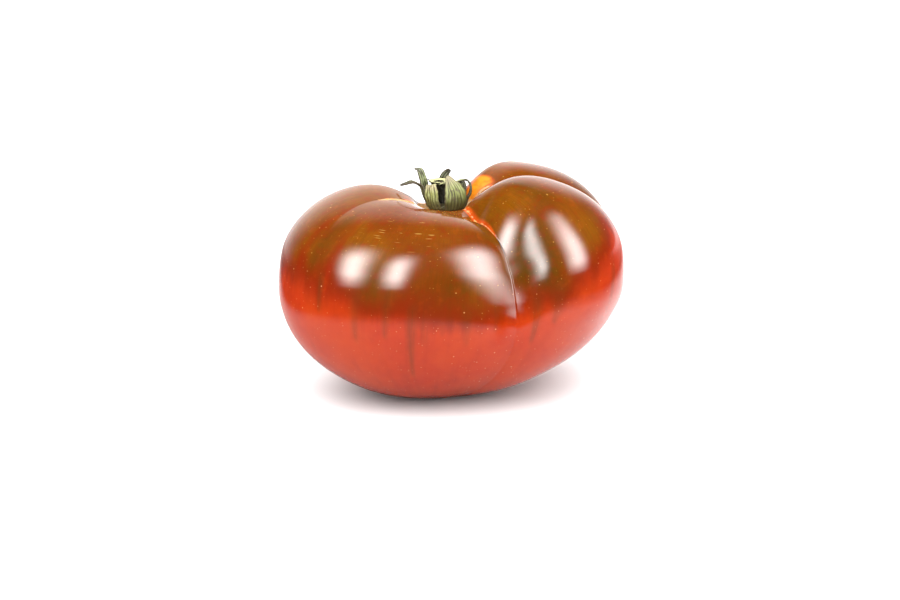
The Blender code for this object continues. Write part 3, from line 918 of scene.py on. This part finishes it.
def makeStub():
    shape = stubShape
    bm, top = startStub(shape)
    cut = bm.verts.layers.float.new("cut")
    ring = bm.verts.layers.float_vector.new("ring")
    line = [Vector(point) for point in shape["line"]]
    around, upward = shape["lumpScale"]
    for vertex in bm.verts:
        share = clamp(vertex.co.z + 0.5)
        bearing = math.atan2(vertex.co.y, vertex.co.x)
        outward = Vector((math.cos(bearing), math.sin(bearing), 0))
        flute = 1 + shape["fluteDepth"] * math.cos(shape["flutes"] * bearing + shape["fluteTwist"] * share)
        flute += shape["lumps"] * noise.noise(outward * around + Vector((0, 0, share * upward)))
        radius = alongCurve(shape["radii"], share) * flute
        vertex[ring] = Vector((outward.x, outward.y, share))
        vertex.co = seat + alongCurve(line, share) + outward * radius
    for width, height in shape["faceSteps"]:
        bmesh.ops.inset_region(bm, faces=[top], thickness=width, depth=height, use_even_offset=True)
        for vertex in top.verts:
            vertex[cut] = 1.0
    bmesh.ops.recalc_face_normals(bm, faces=bm.faces)
    stub = makePiece(bm, "stemCut")
    stub.data.set_sharp_from_angle(angle=math.radians(shape["sharpAngle"]))
    return stub


stubFinish = {
    # the second colour serves both the dark lines of the grain and the painted shade low down on the sides
    "side": (0.038, 0.033, 0.012), "darkGrainAndShade": (0.008, 0.006, 0.002), "face": (0.33, 0.32, 0.15),
    "faceBrown": (0.12, 0.055, 0.028), "roughness": 0.6, "specular": 0.15,
    "grain": (7, 1.6, 3), "speckle": (1500, 3), "pits": (0.0008, 0.33, 0.45), "pitStrength": 0.8,
    # the darkening by height on the next line is painted shade, low down among the sepals
    "sideByGrain": (0.35, 0.65), "shadeByHeight": (0.95, 0.45, (0, 0.75)), "faceByCut": (0.3, 0.8),
    "relief": (0.5, 0.0002),
}


def makeStubMaterial(finish):
    material, tree, shader = startMaterial("stem", finish)
    place = ownPlace(tree)
    ring = attribute(tree, "ring", "Vector")
    grain = fibres(tree, ring, *finish["grain"])
    height = splitVector(tree, ring)[2]
    side = mixIn(tree, finish["darkGrainAndShade"], finish["side"], grain, *finish["sideByGrain"])
    # painted shade: the sides darken towards the foot, down among the sepals
    side = mixIn(tree, side, finish["darkGrainAndShade"], height, *finish["shadeByHeight"])
    pits = times(tree, dots(tree, place, *finish["pits"]), finish["pitStrength"])
    face = mixColour(tree, pits, finish["face"], finish["faceBrown"])
    colour = mixIn(tree, side, face, attribute(tree, "cut"), *finish["faceByCut"])
    tree.links.new(colour, shader.inputs["Base Color"])
    addRelief(tree, shader, plus(tree, addNoise(tree, place, *finish["speckle"]), grain), *finish["relief"])
    return material


stub = makeStub()
stub.data.materials.append(makeStubMaterial(stubFinish))
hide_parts("stem_stub")
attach(stub, "root")
print("stem stub made")


# the stage: a pale floor, a bright surround behind and overhead, and three soft boxes; the ranges of
# places are in metres, and those of directions go from -1 to 1
stageSettings = {
    "floorSize": 6, "floorColour": (0.65, 0.65, 0.655), "roughness": 0.6, "specular": 0,
    # painted reflection: what the skin mirrors of the floor, a pale patch round it that glows brighter to
    # the right and behind, and dark further off
    "floorMirrored": (0.42, 0.42, 0.42), "floorFar": (0.01, 0.01, 0.01), "patchEdge": (0.09, 0.145),
    "rightSide": (0, 0.07), "rightGlow": 1.1, "behind": (0.02, 0.5), "behindGlow": 2.3,
    # what it mirrors of the surround: bright low down behind, less so to the right, dark elsewhere
    "surroundByBack": (0.42, 0.95, (0.005, 2.6)), "surroundByRight": (0.2, 0.66, (1, 0.12)),
    "behindByBack": (0.42, 0.95),
    # the light on it: more from overhead, from the camera's side and from the right
    "domeByHeight": (0, 1, (0.5, 4.9)), "domeByBack": (-1, 1, (1.6, 0.45)),
    "domeByRight": (-1, 1, (0.92, 1.14)), "surroundColour": (1, 0.995, 0.99),
    # boxes: bearing from the camera, height and roll in degrees, width, height, brightness
    "boxDistance": 2, "boxSoftEdge": (0.5, 0.42), "boxFalloff": 1.5,
    "boxes": {"left": (-53, 30, 16, 1.55, 3.4, 38), "middle": (-16, 27, 0, 0.95, 3.4, 38),
              "right": (56, 32, -8, 2.55, 3.5, 33)},
}


def patchReach(tree, place):  # how far off a place on the floor is, to the side or in front
    return vectorLength(tree, joinVector(tree, place[0], calculate(tree, "MINIMUM", place[1], 0.0)))


def floorGlow(tree, place, far, settings):  # painted reflection: the glow that only mirrored rays see on the floor
    back = calculate(tree, "DIVIDE", place[1], vectorLength(tree, joinVector(tree, place[0], place[1])))
    behind = stretch(tree, back, *settings["behindByBack"])
    behind = times(tree, behind, stretch(tree, place[1], *settings["behind"]))
    side = stretch(tree, place[0], *settings["rightSide"], (0.0, settings["rightGlow"]))
    side = times(tree, side, minus(tree, 1.0, far))
    return calculate(tree, "MAXIMUM", side, times(tree, behind, settings["behindGlow"]))


def makeFloorMaterial(settings):
    material, tree, shader = startMaterial("floor", settings)
    place = splitVector(tree, ownPlace(tree))
    mirrored = addNode(tree, "ShaderNodeLightPath").outputs["Is Glossy Ray"]
    # painted reflection: mirrored rays see a pale patch round the fruit and a dark floor further off
    far = stretch(tree, patchReach(tree, place), *settings["patchEdge"])
    seen = mixColour(tree, far, settings["floorMirrored"], settings["floorFar"])
    tree.links.new(mixColour(tree, mirrored, settings["floorColour"], seen), shader.inputs["Base Color"])
    # painted reflection: the floor glows, for mirrored rays only
    glow = times(tree, floorGlow(tree, place, far, settings), mirrored)
    tree.links.new(glow, shader.inputs["Emission Strength"])
    shader.inputs["Emission Color"].default_value = (1, 1, 1, 1)
    return material


def makeFloor(settings):
    bm = bmesh.new()
    bmesh.ops.create_grid(bm, x_segments=1, y_segments=1, size=settings["floorSize"])
    floor = makePiece(bm, "floor")
    floor.data.materials.append(makeFloorMaterial(settings))


def makeSurround(settings):
    world = bpy.data.worlds.new("surround")
    bpy.context.scene.world = world
    world.use_nodes = True
    tree = world.node_tree
    background = tree.nodes["Background"]
    direction = splitVector(tree, addNode(tree, "ShaderNodeTexCoord").outputs["Generated"])
    gloss = times(tree, stretch(tree, direction[1], *settings["surroundByBack"]),
                  stretch(tree, direction[0], *settings["surroundByRight"]))
    dome = times(tree, stretch(tree, direction[2], *settings["domeByHeight"]),
                 stretch(tree, direction[1], *settings["domeByBack"]))
    dome = times(tree, dome, stretch(tree, direction[0], *settings["domeByRight"]))
    rays = addNode(tree, "ShaderNodeLightPath").outputs
    strength = ramp(tree, rays["Is Glossy Ray"], dome, gloss)
    shown = ramp(tree, rays["Is Camera Ray"], strength, 1.0)
    fillSocket(tree, background.inputs["Strength"], shown)
    fillSocket(tree, background.inputs["Color"], settings["surroundColour"])


def softenBox(tree, settings):  # fades a soft box towards its edges
    place = addNode(tree, "ShaderNodeNewGeometry").outputs["Parametric"]
    edges = splitVector(tree, place)
    soft = []
    for edge, width in zip((edges[0], edges[1]), settings["boxSoftEdge"]):
        inward = calculate(tree, "MINIMUM", edge, minus(tree, 1.0, edge))
        soft.append(stretch(tree, inward, 0.0, width))
    glow = calculate(tree, "POWER", times(tree, *soft), settings["boxFalloff"])
    tree.links.new(glow, tree.nodes["Emission"].inputs["Strength"])


def makeBox(name, settings):
    bearing, height, roll, wide, tall, brightness = settings["boxes"][name]
    data = bpy.data.lights.new("softBox_" + name, "AREA")
    data.shape = "RECTANGLE"
    data.size = wide
    data.size_y = tall
    data.energy = brightness * math.pi * wide * tall
    data.use_nodes = True
    softenBox(data.node_tree, settings)
    lamp = bpy.data.objects.new("softBox_" + name, data)
    lamp.visible_diffuse = False  # the dome lights the colours, and the boxes only shine
    bpy.context.scene.collection.objects.link(lamp)
    turn = math.radians(bearing)
    tilt = math.radians(height)
    away = Vector((math.sin(turn) * math.cos(tilt), -math.cos(turn) * math.cos(tilt), math.sin(tilt)))
    lamp.location = Vector(cameraSettings["aim"]) + away * settings["boxDistance"]
    rolled = Quaternion((0, 0, 1), math.radians(roll))
    lamp.rotation_euler = ((-away).to_track_quat("-Z", "Y") @ rolled).to_euler()


makeFloor(stageSettings)
makeSurround(stageSettings)
for name in stageSettings["boxes"]:
    makeBox(name, stageSettings)
bpy.context.scene.view_settings.view_transform = "Standard"
print("stage and lights set")
